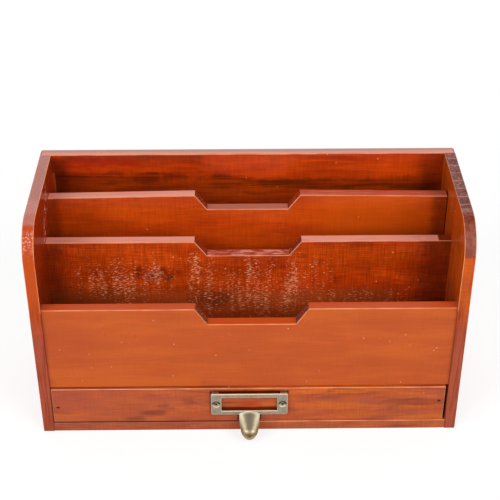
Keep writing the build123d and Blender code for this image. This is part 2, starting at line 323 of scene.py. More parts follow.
class Timber(Finish):
    """Softwood of one board, planed, stained and lacquered in that order."""

    def __init__(self, node_name):
        super().__init__(f"stained_pine_{node_name}")
        look = BOARDS[node_name]
        self.stain = bpy.context.scene.sorter_stain
        self.grain = look["grain"]
        self.face = look["face"]
        self.along_face = [letter != self.face for letter in "XYZ"]
        self.texture = look.get("texture", 1.0)
        self.gloss = look.get("gloss", 0.22)
        self.unlit_arrises = 0.0
        self.seed = sum(ord(letter) for letter in node_name) % 97
        low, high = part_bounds(node_name)
        middle = (low + high) / 2 / MM
        # Along the grain first, then the two ways across it
        order = {"X": "XYZ", "Y": "YXZ", "Z": "ZXY"}[self.grain]
        axes = self.add("SeparateXYZ", {0: self.place})
        self.along = self.add(
            "CombineXYZ", {index: axes.outputs[letter] for index, letter in enumerate(order)}
        )
        across = [middle["XYZ".index(letter)] for letter in order[1:]]
        self.heart = [place + offset for place, offset in zip(across, look["heart"])]
        self.draw_figure(look["figure"], [hex_colour(tone) for tone in look["tones"]])
        self.draw_planing()
        self.draw_end_grain()

    def streaks(self, length, width, detail=2.0, shift=0.0, origin=None):
        """Noise drawn out along the grain: streaks about this long and this wide."""
        drawn = self.add(
            "Mapping",
            {
                "Vector": origin or self.along,
                "Location": (self.seed + shift, self.seed, shift),
                "Scale": (1 / length, 1 / width, 1 / width),
            },
        )
        return self.add(
            "TexNoise", {"Vector": drawn, "Scale": 1.0, "Detail": detail, "Roughness": 0.55}
        )

    def streaked(self, length, width, shift, start, end, most=1.0, detail=3.0):
        """Mask of streaks this long and wide, whose noise goes from start to end."""
        return self.share(self.streaks(length, width, detail, shift), start, end, most)

    def distance(self, u, v, reach_u=1.0, reach_v=1.0):
        """Distance on the board's faces from a point, as a share of a reach each way."""
        centres, reaches = iter((u, v)), iter((reach_u, reach_v))
        centre = [next(centres) if seen else 0.0 for seen in self.along_face]
        reach = [next(reaches) if seen else 1e9 for seen in self.along_face]
        offset = self.add("VectorMath", {0: self.place, 1: centre}, operation="SUBTRACT")
        shares = self.add("VectorMath", {0: offset, 1: reach}, operation="DIVIDE")
        return self.add("VectorMath", {0: shares}, operation="LENGTH")

    def patch(self, u_range, v_range, soft, ragged=0.0, most=1.0):
        """Rectangle on the board's faces: its most inside, fading out over a soft edge (mm)."""
        spans = iter((u_range, v_range))
        low, high = zip(*(next(spans) if seen else (-1e6, 1e6) for seen in self.along_face))
        centre = [(a + b) / 2 for a, b in zip(low, high)]
        half = [(b - a) / 2 for a, b in zip(low, high)]
        offset = self.add("VectorMath", {0: self.place, 1: centre}, operation="SUBTRACT")
        apart = self.add("VectorMath", {0: offset}, operation="ABSOLUTE")
        past = self.add("VectorMath", {0: apart, 1: half}, operation="SUBTRACT")
        ways = self.add("SeparateXYZ", {0: past})
        first, second = (ways.outputs[letter] for letter in "XYZ" if letter != self.face)
        outside = self.add("Math", {0: first, 1: second}, operation="MAXIMUM")
        if ragged:
            torn = self.streaks(9, 5, detail=3.0, shift=u_range[0])
            outside = self.add(
                "Math", {0: torn, 1: -2 * ragged, 2: outside}, operation="MULTIPLY_ADD"
            )
        return self.share(outside, soft - ragged, -ragged, most)

    def spot(self, u, v, reach_u, reach_v, ragged=0.5, most=1.0):
        """Patch on the board's faces: its most in the middle, 0 past its reach, ragged between."""
        cloud = self.streaks(9, 5, detail=3.0, shift=u)
        torn = self.add(
            "Math",
            {0: cloud, 1: -2 * ragged, 2: self.distance(u, v, reach_u, reach_v)},
            operation="MULTIPLY_ADD",
        )
        return self.share(torn, 1 - ragged, 0.25 - ragged, most)

    def trail(self, places, reach_u, reach_v, most=1.0):
        """Ragged band on the board's faces that follows a line of places."""
        mask = 0.0
        for (u, v), (next_u, next_v) in zip(places, places[1:]):
            stretch = self.spot(
                (u + next_u) / 2, (v + next_v) / 2,
                abs(next_u - u) * 0.8 + reach_u, abs(next_v - v) * 0.6 + reach_v, 0.7, most,
            )
            mask = self.add("Math", {0: stretch, 1: mask}, operation="MAXIMUM")
        return mask

    def edges(self):
        """Mask of the board's narrow edges, which leaves its two faces out."""
        return self.share(self.squareness(self.face), 0.85, 0.6)

    def upward(self, most=1.0):
        """Mask of the edges that face upwards."""
        return self.share(self.facing("Z"), 0.75, 0.97, most)

    def raise_up(self, mask, height):
        """Raise the surface where a mask is 1, by this many hundredths of a millimetre."""
        self.relief = self.add(
            "Math", {0: mask, 1: height, 2: self.relief}, operation="MULTIPLY_ADD"
        )

    def draw_figure(self, figure, tones):
        """Zones of lighter and darker stain, and the growth rings that the face cuts through."""
        usual, lightest, darkest = tones
        drift = self.streaks(120, 45)
        wander = 10 + 14 * figure
        wandered = self.add(
            "VectorMath",
            {0: drift.outputs["Color"], 1: (0, wander, wander), 2: self.along},
            operation="MULTIPLY_ADD",
        )
        from_heart = self.add(
            "VectorMath", {0: wandered, 1: (0, *self.heart)}, operation="SUBTRACT"
        )
        spokes = self.add("VectorMath", {0: from_heart, 1: (0, 1, 1)}, operation="MULTIPLY")
        radius = self.add("VectorMath", {0: spokes}, operation="LENGTH")
        years = self.add("Math", {0: radius, 1: self.stain.ring_width / MM}, operation="DIVIDE")
        uneven_years = self.add(
            "Math", {0: self.streaks(60, 12, shift=7), 1: 2.6, 2: years}, operation="MULTIPLY_ADD"
        )
        season = self.add("Math", {0: uneven_years}, operation="FRACT")
        late = self.overlap(self.share(season, 0.1, 0.8), self.share(season, 1.0, 0.86))
        pale = self.share(self.streaks(85, 12, origin=wandered), 0.42, 0.66)
        dark = self.share(self.streaks(70, 9, detail=3.0, shift=31, origin=wandered), 0.5, 0.72)
        self.colour = usual
        self.lay(lightest, pale)
        self.lay(darkest, dark, min(0.35 + figure, 1.0))
        fading = self.streaked(70, 20, 19, 0.42, 0.66, most=figure, detail=2.0)
        self.lay(self.stain.late_wood, late, fading)
        # Single fibres are too fine to show, so bundles of them are drawn
        fibres = self.streaks(self.stain.fibre_length / MM, self.stain.fibre_width / MM, 3.0)
        self.shade(fibres, 0.14 * self.texture)
        self.relief = fibres
        self.raise_up(late, 0.6)

    def draw_planing(self):
        """Faint marks of the planer's knives across the grain, and stray dust nibs."""
        marks = self.streaks(self.stain.planer_pitch / MM, 15, shift=3)
        self.shade(marks, 0.11 * self.texture)
        self.raise_up(marks, 0.4)
        self.cloud = self.streaks(34, 26, detail=3.0, shift=11)
        self.shade(self.cloud, 0.1 * self.texture)
        # Two in five of the cells, each 8 mm wide, hold a nib
        cells = self.add("TexVoronoi", {"Vector": self.place, "Scale": 1 / 8})
        chosen = self.add("Math", {0: cells.outputs["Color"], 1: 0.6}, operation="GREATER_THAN")
        nibs = self.overlap(self.share(cells.outputs["Distance"], 0.09, 0.06, most=0.9), chosen)
        self.lay(self.stain.chip, nibs)
        self.raise_up(nibs, 3.0)

    def draw_end_grain(self):
        """End grain, which soaks up stain and stays rough, wherever a cut crosses the fibres."""
        cut = self.share(self.squareness(self.grain), 0.06, 0.2)
        self.lay(self.stain.end_grain, cut, self.share(self.cloud, 0.2, 0.6, most=0.85))
        # Single pores are too fine to show, so clusters 1.4 mm wide are drawn
        pores = self.blotches(1 / 0.7, detail=3.0, roughness=0.7)
        self.torn = self.overlap(cut, self.share(pores, 0.5, 0.62))
        self.lay(self.stain.saw_mark, cut, self.share(pores, 0.46, 0.36, most=0.6))
        self.raise_up(self.torn, 4.0)

    def draw_arrises(self):
        """Pale arrises, sanded through the stain and with a painted highlight, brighter in some
        stretches than in others.
        """
        squarely = self.squareness(self.face)
        rounded = self.overlap(self.share(squarely, 0.08, 0.3), self.share(squarely, 0.98, 0.9))
        worn = self.add(
            "MapRange",
            {"Value": self.streaks(22, 400, shift=23), "From Min": 0.35, "From Max": 0.6,
             "To Min": 0.35, "To Max": 0.9},
        )
        sanded = self.add("Math", {0: 1.0, 1: self.unlit_arrises}, operation="SUBTRACT")
        self.lay(self.stain.arris_highlight, rounded, worn, sanded)

    def bloom_and_sheen(self, most, where=1.0):
        """Upper edges laid pale pink: partly sanded fibres that dulled the lacquer, partly painted
        sheen.
        """
        fibrous = self.streaked(30, 1.6, 61, 0.25, 0.55)
        patchy = self.add("MapRange", {"Value": fibrous, "To Min": 0.75, "To Max": 1.0})
        self.lay(self.stain.bloom_and_sheen, self.upward(most), where, patchy)

    def chip(self, mask, length=3.0, width=0.8):
        """Lifted fibres that whitened the lacquer: short dashes, more of them where the mask is 1.

        They thicken and thin out in upright bands, where the planer's knives tore more or less.
        """
        dashes = self.streaks(length, width, shift=41)
        bands = self.streaked(6, 50, 43, 0.35, 0.65)
        banded = self.add("Math", {0: bands, 1: 0.1, 2: dashes}, operation="MULTIPLY_ADD")
        lifted = self.add("Math", {0: mask, 1: 0.15, 2: banded}, operation="MULTIPLY_ADD")
        whitened = self.overlap(
            self.share(lifted, 0.74, 0.83, most=0.8), self.share(mask, 0.0, 0.1)
        )
        self.lay(self.stain.chip, whitened)
        self.raise_up(whitened, 5.0)

    def pool(self, *masks):
        """Dark colour laid where all the masks overlap: pooled stain on knots, smudges and filled
        holes, painted shade in corners and gaps.
        """
        self.lay(self.stain.pooled, *masks)

    def shade_gap_arris(self, arris_highlight, start, end, most):
        """Arris beside a gap: no pale highlight, and painted shade of the gap to the left of where
        it goes from start to end.
        """
        self.unlit_arrises = self.overlap(self.share(self.way("X"), start, end), arris_highlight)
        self.pool(self.unlit_arrises, most)

    def knot(self, u, v, reach_u, reach_v):
        """Knot: a dark eye in a redder core, faint rings, and a broken dark arc at either side."""
        wobble = self.streaks(6, 6, detail=3.0, shift=u)
        away = self.add(
            "Math",
            {0: wobble, 1: 0.9, 2: self.distance(u, v, reach_u, reach_v)},
            operation="MULTIPLY_ADD",
        )
        turns = self.add("Math", {0: away, 1: 26.0}, operation="MULTIPLY")
        waves = self.add("Math", {0: turns}, operation="SINE")
        self.lay(self.stain.dull, self.share(away, 1.2, 0.7, most=0.4))
        rings = self.share(waves, 0.0, 0.9)
        self.lay(self.stain.late_wood, rings, self.share(away, 1.5, 1.2), 0.6)
        left_arc = ((-0.75, 1.0), (-1.0, 0.4), (-0.85, -0.2))
        right_arc = ((0.5, 0.8), (0.85, 0.2), (1.2, -0.7))
        for arc in (left_arc, right_arc):
            places = [(u + side * reach_u, v + rise * reach_v) for side, rise in arc]
            self.pool(self.trail(places, 1.2, 1.0, most=0.6))
        self.pool(self.spot(u, v, 0.3 * reach_u, 0.22 * reach_v, ragged=0.3, most=0.7))
        self.chip(self.share(away, 1.7, 1.2, most=0.85), length=2.4, width=1.0)

    def saw_marks(self, where, pitch):
        """Rough blocks that a coarse saw left across a sawn end, with smooth lines between them."""
        step = self.add("Math", {0: self.way("Y"), 1: pitch}, operation="DIVIDE")
        uneven = self.add(
            "Math",
            {0: self.streaks(400, 14, detail=1.0, shift=5), 1: 0.4, 2: step},
            operation="MULTIPLY_ADD",
        )
        along_block = self.add("Math", {0: uneven}, operation="FRACT")
        block = self.overlap(self.share(along_block, 0.02, 0.1), self.share(along_block, 1.0, 0.94))
        # Torn fibres, drawn out along the saw's cut
        drawn = self.add("Mapping", {"Vector": self.place, "Scale": (0.4, 1.1, 0.4)})
        pits = self.add("TexNoise", {"Vector": drawn, "Scale": 1.0, "Detail": 3.0})
        rough = self.overlap(block, self.share(pits, 0.58, 0.44), where)
        self.lay("#8E463A", where)
        self.lay(self.stain.late_wood, where, self.share(self.cloud, 0.45, 0.6, most=0.8))
        self.lay(self.stain.saw_mark, rough, 0.7)
        smooth = self.add("Math", {0: 1.0, 1: block}, operation="SUBTRACT")
        self.lay("#C88A7A", where, smooth, 0.6)
        self.lay("#C88A7A", where, self.share(pits, 0.58, 0.66, most=0.6))
        self.raise_up(rough, -12.0)
        self.torn = self.add("Math", {0: self.torn, 1: where}, operation="MAXIMUM")

    def lacquer(self):
        """Satin lacquer over the stain; the fibres show through it, which breaks its gloss."""
        self.draw_arrises()
        bump = self.add("Bump", {"Strength": 1.0, "Distance": 0.01 * MM, "Height": self.relief})
        smooth = self.add(
            "MapRange",
            {"Value": self.cloud, "From Min": 0.3, "From Max": 0.7,
             "To Min": 0.18, "To Max": 0.28},
        )
        roughness = self.add("Math", {0: self.torn, 1: 0.3, 2: smooth}, operation="MULTIPLY_ADD")
        return self.coat({
            "Roughness": roughness, "IOR": 1.5, "Specular IOR Level": self.gloss, "Normal": bump,
        })


# Marks of age and making. Each is placed where the photograph shows it, in millimetres on the
# board's face: across and up for the boards that face the front, depth and up for the sides.
# Several of these marks are painted shade, sheen or highlight, as said where they are laid.

# Past either end of every board
FAR = 170
# Along the dividers: the floor of the finger notch, and what lies past its slopes
NOTCH_FLOOR = (-32, 30)
LEFT_OF_NOTCH, RIGHT_OF_NOTCH = (-FAR, -38), (36, FAR)
# Heights that hold every upper edge of the dividers
UPPER_EDGES = (125, 205)
# Depths that hold the front edges of the side panels
FRONT_EDGES = (-70, -56)
# Ends and bends of the dark streak on the back panel
DARK_STREAK = ((-156, 169), (-127, 170), (-95, 165), (-70, 170), (-38, 168), (2, 163), (74, 163),
               (107, 159), (156, 164))


def weather_front(board, most):
    """Front edge of a side panel: dull low down, with no painted highlight on the arrises beside the
    front panel.
    """
    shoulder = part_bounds("front_panel")[1].z / MM
    board.unlit_arrises = board.overlap(
        board.share(board.way("Z"), shoulder, shoulder - 3),
        board.share(board.way("Y"), -52, -56),
    )
    board.lay("#A04F3C", board.patch(FRONT_EDGES, (0, 85), 40, ragged=8, most=most))
    board.lay(
        board.stain.late_wood, board.streaked(35, 1.3, 91, 0.46, 0.6, 0.45),
        board.patch(FRONT_EDGES, (0, 110), 30, ragged=6),
    )


def left_side_marks(board):
    """A mauve top with painted sheen, an orange corner with speckles, glue crust inside at the
    dividers, and painted shade on the inner face, deepest low down.
    """
    edges = board.edges()
    inside = board.share(board.facing("X"), 0.5, 0.9)
    # Painted shade: the inner face darker all over, and darker still low down
    board.lay("#942004", inside, 0.75)
    board.pool(inside, board.patch((-70, 60), (40, 130), 30, ragged=6, most=0.35))
    # The first two colours are painted sheen on the top; the last two make the front corner orange
    for colour, patch in (
        ("#B0665A", ((-46, 70), (180, 200), 1.5, 0.8, 0.9)),
        ("#C87A6C", ((-44, -22), (180, 200), 12, 2, 0.6)),
        ("#C04A10", ((-70, -47), (100, 187), 3, 1.5, 0.9)),
        ("#B84414", ((-70, -50), (173, 184), 6, 1.5, 0.7)),
    ):
        board.lay(colour, edges, board.patch(*patch))
    speckles = board.streaked(2.4, 1.8, 67, 0.48, 0.6, 0.7)
    board.lay("#E09A8C", edges, board.spot(-57, 181, 11, 13), speckles)
    # Crust of glue, in lumps a few millimetres wide
    crust = board.trail(((14, 184), (9, 172), (-5, 165), (-12, 150)), 2, 4, most=0.8)
    board.lay("#E8B4A0", inside, crust, board.streaked(3, 4, 79, 0.5, 0.58, detail=4.0))
    weather_front(board, 0.6)


def right_side_marks(board):
    """A coarsely sawn top, a smooth mauve corner with painted sheen and an edge to it, and a redder
    foot.
    """
    edges = board.edges()
    # Mauve of the smooth corner is painted sheen, with the wood's own dark flecks over it
    smooth = board.overlap(edges, board.patch((-70, -30), (168, 190), 1.5, 0.8))
    board.lay("#94503E", smooth, 0.9)
    board.lay("#742C20", smooth, board.streaked(7, 3, 73, 0.42, 0.62, 0.6))
    board.lay(board.stain.late_wood, smooth, board.spot(-43, 188, 6, 5, most=0.6))
    sawn = board.overlap(edges, board.patch((-30, 70), (180, 200), 1, ragged=0.5))
    board.saw_marks(sawn, pitch=11.5)
    # Shade in the gap at the rear divider's short end
    low, high = (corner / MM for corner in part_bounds("rear_divider"))
    inside = board.share(board.facing("X"), -0.5, -0.9)
    board.pool(inside, board.patch((low.y, high.y), (low.z, high.z), 0.3, most=0.9))
    weather_front(board, 0.7)


def back_panel_marks(board):
    """A dark wavy streak that runs the length of the board, a redder upper left corner, painted
    shade low down and at both ends, and painted sheen on the top.
    """
    front, rear = (corner.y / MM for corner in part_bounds("back_panel"))
    inside = board.share(board.facing("Y"), -0.5, -0.9)
    board.lay("#A41C06", inside, board.spot(-122, 184, 52, 9, ragged=0.8, most=0.7))
    # Darker band just under the top edge
    board.pool(inside, board.patch((-140, -40), (187, 188), 8, ragged=3, most=0.4))
    lines = board.streaked(60, 2, 71, 0.42, 0.6)
    band = board.trail(DARK_STREAK, 3, 6)
    board.pool(band, 0.32)
    board.pool(band, lines, 0.6)
    board.pool(lines, board.spot(30, 163, 48, 5, most=0.6))
    # Painted shade low on the inner face
    board.lay("#7A3404", inside, board.patch((-150, 150), (140, 162), 8, 3, 0.35))
    board.pool(lines, board.patch((-156, 150), (150, 160), 8, ragged=3, most=0.25))
    # Painted shade at both ends, beside the side panels
    board.pool(inside, board.patch((146, FAR), (120, 190), 16, ragged=4, most=0.5))
    board.pool(inside, board.patch((-FAR, -150), (120, 182), 12, ragged=4, most=0.6))
    board.lay("#B85020", inside, board.patch((-156, -154.8), (150, 173), 0.6, 0.3, 0.8))
    # Painted sheen on the top: pale pink, and greyer mauve along its middle
    board.bloom_and_sheen(0.65)
    board.lay("#A87864", board.upward(0.85), board.share(board.way("Y"), front + 2, rear - 3))


def rear_divider_marks(board):
    """Dark lower corners of pooled stain and painted shade, and a top edge with painted sheen that
    is paler on its left half.
    """
    board.lay("#D0560E", board.patch((70, 130), (110, 160), 30, ragged=6, most=0.5))
    # Pooled stain and painted shade at both ends
    board.pool(board.patch((150, FAR), (60, 166), 10, ragged=4, most=0.6))
    board.pool(board.patch((-FAR, -152), (60, 166), 8, ragged=4, most=0.45))
    # Painted sheen on the top edge, strong left of the notch and faint elsewhere
    board.bloom_and_sheen(1.0, board.patch(LEFT_OF_NOTCH, UPPER_EDGES, 1))
    board.lay("#A4604E", board.upward(0.8), board.patch(NOTCH_FLOOR, UPPER_EDGES, 2))
    board.bloom_and_sheen(0.25)
    striped = board.streaked(18, 1.4, 97, 0.4, 0.55, 0.7)
    board.lay("#BC3E1E", board.upward(), board.patch(RIGHT_OF_NOTCH, UPPER_EDGES, 1), striped)


def middle_divider_marks(board):
    """Dark ends of pooled stain and painted shade, a knot, lifted fibres round it and under the
    notch, dull lacquer with a painted reflection low on the board, and painted sheen on the upper
    edges.
    """
    # Pooled stain and painted shade at both ends
    board.pool(board.patch((146, FAR), (40, 146), 28, ragged=6, most=0.65))
    board.pool(board.patch((-FAR, -150), (40, 146), 12, ragged=6, most=0.5))
    # Low band: dull lacquer and a painted reflection
    board.lay("#8E4420", board.patch((-150, 110), (60, 98), 9, ragged=3, most=0.5))
    board.pool(board.spot(-28, 94, 26, 12, most=0.5))
    board.knot(-75, 117, 12.5, 9.5)
    board.chip(board.spot(-98, 112, 66, 34, ragged=0.6, most=0.8))
    board.chip(board.spot(-108, 108, 44, 20, most=0.95))
    board.chip(board.patch((-30, 48), (88, 116), 24, ragged=12, most=0.85))
    for column in (-42, 2, 33):
        board.chip(board.patch((column - 2, column + 2), (92, 136), 6, ragged=4), 2.4, 1.1)
    board.chip(board.patch((50, 120), (92, 98), 10, ragged=5, most=0.7))
    # Painted sheen on the upper edges and the notch floor
    for stretch in (LEFT_OF_NOTCH, (36, 146)):
        board.bloom_and_sheen(1.0, board.patch(stretch, UPPER_EDGES, 1))
    notch = board.overlap(board.upward(), board.patch(NOTCH_FLOOR, UPPER_EDGES, 3))
    board.lay("#A84030", notch, 0.7)
    board.lay(board.stain.bloom_and_sheen, notch, board.streaked(9, 3, 83, 0.42, 0.62, 0.7))


def front_panel_marks(board):
    """An orange band low on the left, a redder upper left corner, a bright upper edge, and painted
    shade along the bottom arris above the drawer.
    """
    board.lay("#C85A10", board.patch((-150, -40), (43, 50), 4, ragged=3, most=0.7))
    board.lay("#B04418", board.spot(-140, 88, 45, 26, most=0.4))
    board.lay("#CC4A08", board.upward(0.9))
    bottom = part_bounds("front_panel")[0].z / MM
    board.shade_gap_arris(board.share(board.way("Z"), bottom + 1, bottom), 12, -12, most=0.8)


def base_board_marks(board):
    """Painted shade along the left half of the front arris, in the gap under the drawer."""
    low, high = (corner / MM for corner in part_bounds("base_board"))
    upper = board.share(board.way("Z"), high.z - 1, high.z)
    front = board.share(board.way("Y"), low.y + 1.2, low.y + 0.6)
    board.shade_gap_arris(board.overlap(upper, front), -4, -10, most=0.9)


def drawer_front_marks(board):
    """Brown smudges low on the left, painted shade round the pull and along the bottom arris, and
    red behind the card.
    """
    board.lay(board.stain.dull, board.patch((-160, -70), (0, 50), 30, ragged=6, most=0.3))
    board.pool(board.spot(-75, 18.5, 14, 4.5, most=0.5))
    board.pool(board.spot(-91, 12.5, 12, 3.5, most=0.45))
    fine_lines = board.streaked(30, 0.9, 89, 0.5, 0.6, 0.6, detail=2.0)
    board.lay(board.stain.late_wood, fine_lines, board.patch((62, 140), (40, 42), 2, ragged=1))
    # Filled holes over the brads
    for x, z in ((-151.5, 25), (149.9, 29)):
        board.pool(board.spot(x, z, 1.9, 1.5, ragged=0.2, most=0.85))
    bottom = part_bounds("drawer_front")[0].z / MM
    board.shade_gap_arris(board.share(board.way("Z"), bottom + 1, bottom), -4, -10, most=0.9)
    low, high = (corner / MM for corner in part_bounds("card_pull"))
    middle = (low.x + high.x) / 2
    # Painted shade over the card frame, at its left end, beside the finger pull, and low in the
    # window
    for shaded_patch in (
        ((low.x, high.x), (high.z - 1, high.z + 0.5), 1.8, 0.6, 0.95),
        ((low.x - 0.6, low.x), (19, high.z), 0.8, 0.4, 0.6),
        ((middle - 9.2, middle - 7.6), (11, 19), 0.8, 0.4, 0.9),
        ((middle + 7.6, middle + 9.2), (11, 19), 0.8, 0.4, 0.9),
        ((low.x + 8.5, high.x - 8.5), (18, 23.6), 1.6, 0.5, 0.8),
    ):
        board.pool(board.patch(*shaded_patch))
    board.lay("#B83400", board.spot(-0.5, 26.5, 13, 4, most=0.85))


MARKS = {
    "left_side_panel": left_side_marks,
    "right_side_panel": right_side_marks,
    "back_panel": back_panel_marks,
    "rear_divider": rear_divider_marks,
    "middle_divider": middle_divider_marks,
    "front_panel": front_panel_marks,
    "base_board": base_board_marks,
    "drawer_front": drawer_front_marks,
}


def birch_plywood(node_name):
    """Birch plywood, washed with the same stain: fine even grain, plies that show on its edges."""
    wood = Finish("birch_plywood")
    # Bundles of fibres, 40 mm long and 1.2 mm wide; single ones are too fine to show
    drawn = wood.add("Mapping", {"Vector": wood.place, "Scale": (1 / 40, 1 / 1.2, 1 / 1.2)})
    fibres = wood.add("TexNoise", {"Vector": drawn, "Scale": 1.0, "Detail": 3.0})
    # Three plies of one thickness, the middle one laid across
    low, high = (corner.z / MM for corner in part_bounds(node_name))
    from_bottom = wood.add("Math", {0: wood.way("Z"), 1: low}, operation="SUBTRACT")
    ply = wood.add("Math", {0: from_bottom, 1: (high - low) / 3}, operation="DIVIDE")
    layer = wood.add("Math", {0: ply}, operation="FLOOR")
    crossed = wood.add("Math", {0: layer, 1: 1.0, 2: 0.5}, operation="COMPARE")
    on_edge = wood.add(
        "MapRange", {"Value": wood.squareness("Z"), "From Min": 0.7, "From Max": 0.3}
    )
    wood.colour = hex_colour("#A8703C")
    wood.lay("#BC7E46", wood.blotches(35, roughness=0.5))
    wood.lay(bpy.context.scene.sorter_stain.end_grain, crossed, on_edge)
    wood.shade(fibres, 0.14, middle=0.96)
    bump = wood.add("Bump", {"Strength": 1.0, "Distance": 0.01 * MM, "Height": fibres})
    return wood.coat({"Roughness": 0.55, "IOR": 1.5, "Specular IOR Level": 0.3, "Normal": bump})


def dress(node_name, material):
    """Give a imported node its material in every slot."""
    materials = frame["nodes"][node_name].data.materials
    for index in range(len(materials)):
        materials[index] = material


class SORTER_OT_stain_boards(Operator):
    """Stain and lacquer the boards of the case and of the drawer"""

    bl_idname = "sorter.stain_boards"
    bl_label = "Stain the boards"

    def execute(self, context):
        for node_name in BOARDS:
            board = Timber(node_name)
            if node_name in MARKS:
                MARKS[node_name](board)
            dress(node_name, board.lacquer())
        dress("drawer_bottom", birch_plywood("drawer_bottom"))
        return {"FINISHED"}


# Card pull and fasteners


def loose_parts(node_name):
    """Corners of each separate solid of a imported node, as lists of its joined vertices' places."""
    mesh = bmesh.new()
    mesh.from_mesh(frame["nodes"][node_name].data)
    bmesh.ops.remove_doubles(mesh, verts=mesh.verts, dist=0.001 * MM)
    parts = []
    waiting = set(mesh.verts)
    while waiting:
        part = [waiting.pop()]
        for vertex in part:
            near = {edge.other_vert(vertex) for edge in vertex.link_edges} & waiting
            part.extend(near)
            waiting -= near
        parts.append([vertex.co.copy() for vertex in part])
    mesh.free()
    return sorted(parts, key=lambda part: tuple(round(x, 4) for x in part_middle(part)))


def part_box(part):
    """Lowest and highest corner of a list of places."""
    low = Vector(min(place[axis] for place in part) for axis in range(3))
    high = Vector(max(place[axis] for place in part) for axis in range(3))
    return low, high


def part_middle(part):
    """Middle of a list of places."""
    low, high = part_box(part)
    return (low + high) / 2


def new_object(name, data):
    """Object in the scene's collection for a mesh, a lamp or a camera."""
    thing = bpy.data.objects.new(name, data)
    bpy.context.scene.collection.objects.link(thing)
    return thing


def settled(thing, name):
    """Plain object with the mesh that an object's modifiers make, in that object's place."""
    graph = bpy.context.evaluated_depsgraph_get()
    mesh = bpy.data.meshes.new_from_object(thing.evaluated_get(graph), depsgraph=graph)
    mesh.name = name
    bpy.data.objects.remove(thing)
    return new_object(name, mesh)


class CastBrass(Finish):
    """Cast brass, dulled grey-green by age, its rims rubbed bright and given a painted highlight,
    its hollows left dark; the finger pull carries painted reflections and the screw heads painted
    shadow.
    """

    def __init__(self):
        super().__init__("antique_cast_brass")
        pull = bpy.context.scene.sorter_pull
        self.low, self.high = (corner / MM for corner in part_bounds("card_pull"))
        self.cloud = self.blotches(4.0, detail=4.0)
        self.colour = tuple(pull.brass)
        self.lay("#A2A892", self.share(self.blotches(3.0), 0.45, 0.6, most=0.6))
        self.lay("#C8B8B4", self.share(self.blotches(3.6), 0.55, 0.65, most=0.6))
        self.paint_tongue_reflections()
        wear_and_highlight = self.add("Attribute", attribute_name="wear_and_highlight").outputs["Fac"]
        uneven = self.add("Math", {0: self.cloud, 1: 0.3, 2: wear_and_highlight}, operation="MULTIPLY_ADD")
        self.lay(pull.patina, self.share(uneven, 0.56, 0.4))
        # Rims rubbed bright, partly a painted highlight
        self.lay(pull.rubbed, self.share(uneven, 0.72, 0.88))
        self.shade_screws()

    def paint_tongue_reflections(self):
        """The finger pull's painted reflections: cream over the tongue, dark where it faces
        sideways, a dark wedge down its middle, gold at its bend.
        """
        height, foot = self.way("Z"), self.low.z
        off_middle = self.add(
            "Math", {0: self.way("X"), 1: (self.low.x + self.high.x) / 2}, operation="SUBTRACT"
        )
        aside = self.add("Math", {0: off_middle}, operation="ABSOLUTE")
        ragged = self.add("Math", {0: self.cloud, 1: -3.0, 2: aside}, operation="MULTIPLY_ADD")
        tongue = self.share(self.way("Y"), self.high.y - 3.5, self.high.y - 5)
        # Painted reflections: cream over the tongue, dark on its sides, a dark wedge down its
        # middle, gold at the bend
        self.lay("#CDBD98", tongue, 0.6)
        self.lay("#625E4C", tongue, self.share(self.squareness("X"), 0.5, 0.95, most=0.8))
        # The wedge is 9 mm wide at the root and gone at the bend
        taper = 0.42
        wedge = self.add("Math", {0: height, 1: -taper, 2: ragged}, operation="MULTIPLY_ADD")
        point = -taper * (foot + 2.5) - 1.5
        self.lay("#766C58", tongue, self.share(wedge, point + 1.5, point - 1.5, most=0.8))
        dipped = self.add("Math", {0: aside, 1: -0.35, 2: height}, operation="MULTIPLY_ADD")
        bend = self.overlap(
            self.share(dipped, foot + 7, foot + 5), self.share(dipped, foot + 1.5, foot + 3.5)
        )
        self.lay("#7C6430", tongue, bend, 0.6)
        self.lay("#94661A", tongue, bend, self.share(ragged, 1.5, -1.0, most=0.8))

    def shade_screws(self):
        """Painted shadow in the upper half of the groove round each screw head, and painted shade in
        its cross recess.
        """
        painted_shadow = "#16140E"
        for screw in loose_parts("pull_screws"):
            middle = part_middle(screw) / MM
            away = self.add("VectorMath", {0: self.place, 1: middle}, operation="SUBTRACT")
            flat = self.add("VectorMath", {0: away, 1: (1, 0, 1)}, operation="MULTIPLY")
            distance = self.add("VectorMath", {0: flat}, operation="LENGTH")
            groove = self.overlap(self.share(distance, 1.5, 1.9), self.share(distance, 3.5, 3.1))
            above = self.share(self.way("Z"), middle.z - 0.6, middle.z + 0.6)
            self.lay(painted_shadow, groove, above)
            self.lay(painted_shadow, self.share(distance, 0.9, 0.5, most=0.8))

    def cast(self):
        """Satin metal with the grain of the mould's sand, a third of a millimetre wide."""
        bump = self.add(
            "Bump", {"Strength": 0.6, "Distance": 0.015 * MM, "Height": self.blotches(1 / 3)}
        )
        roughness = self.add("MapRange", {"Value": self.cloud, "To Min": 0.42, "To Max": 0.56})
        return self.coat({"Metallic": 1.0, "Roughness": roughness, "Normal": bump})


def drawn_steel():
    """Drawn steel wire, dulled and flecked with the stain that ran over it."""
    wire = Finish("drawn_steel_wire")
    cloud = wire.blotches(1 / 1.2, detail=3.0, roughness=0.5)
    flecks = wire.add("MapRange", {"Value": cloud, "From Min": 0.4, "From Max": 0.6})
    wire.colour = hex_colour("#77706A")
    wire.lay("#4A2A20", flecks)
    roughness = wire.add("MapRange", {"Value": cloud, "To Min": 0.35, "To Max": 0.6})
    return wire.coat({"Metallic": 1.0, "Roughness": roughness})


